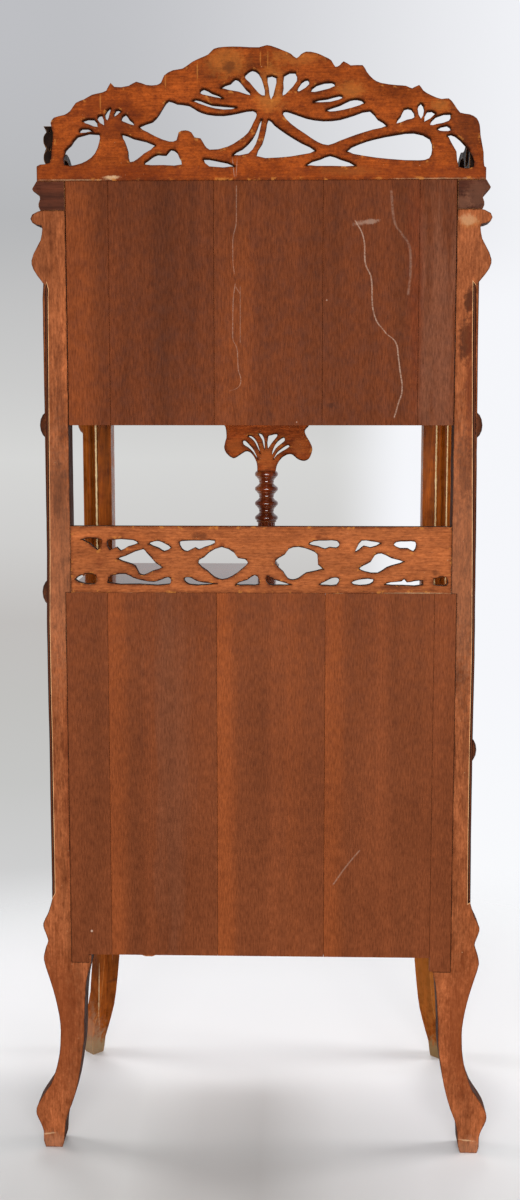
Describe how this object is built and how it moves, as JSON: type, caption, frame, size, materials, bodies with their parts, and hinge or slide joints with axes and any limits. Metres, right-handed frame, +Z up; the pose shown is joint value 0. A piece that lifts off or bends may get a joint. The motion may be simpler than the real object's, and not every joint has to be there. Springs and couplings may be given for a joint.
{
  "type": "etagere",
  "caption": "Carved open-shelf etagere on cabriole feet, with a pierced crest, a turned column and stepped shelves.",
  "frame": {"origin": "on the floor, under the middle of the whole piece", "axes": "+Z up, +X towards the right-hand side as seen from the front, +Y towards the back, so the front looks along -Y"},
  "size_m": [0.6752, 0.4, 1.6],
  "materials": {
    "sawn_wood": "raw sawn walnut, oiled by age",
    "board_wood": "planed dark red boards, unpolished",
    "polished_wood": "polished carved walnut",
    "turned_wood": "glossy dark red turned wood"
  },
  "bodies": {
    "root": {"rear_leg_left": "sawn_wood", "front_leg_left": "polished_wood", "rear_leg_right": "sawn_wood", "front_leg_right": "polished_wood", "upper_back_board_1": "board_wood", "upper_back_board_2": "board_wood", "upper_back_board_3": "board_wood", "upper_back_board_4": "board_wood", "upper_back_board_5": "board_wood", "lower_back_board_1": "board_wood", "lower_back_board_2": "board_wood", "lower_back_board_3": "board_wood", "lower_back_board_4": "board_wood", "lower_back_board_5": "board_wood", "gallery_rail": "sawn_wood", "crest_panel": "sawn_wood", "crest_side_left": "polished_wood", "crest_side_right": "polished_wood", "top_board": "polished_wood", "cornice_left": "polished_wood", "cornice_right": "polished_wood", "cornice_front": "polished_wood", "rear_top_rail": "sawn_wood", "upper_floor": "polished_wood", "upper_side_rail_left": "polished_wood", "upper_side_rail_right": "polished_wood", "capital_bracket": "sawn_wood", "ringed_column": "turned_wood", "high_shelf": "polished_wood", "low_shelf": "polished_wood", "partition": "polished_wood", "partition_edge": "polished_wood", "shelf_bearer_left": "polished_wood", "shelf_bearer_right": "polished_wood", "base_board": "polished_wood", "side_apron_left": "polished_wood", "side_apron_right": "polished_wood", "front_apron": "polished_wood", "glue_block_rear": "sawn_wood", "glue_block_front_left": "sawn_wood", "glue_block_front_right": "sawn_wood"}
  },
  "joints": []
}
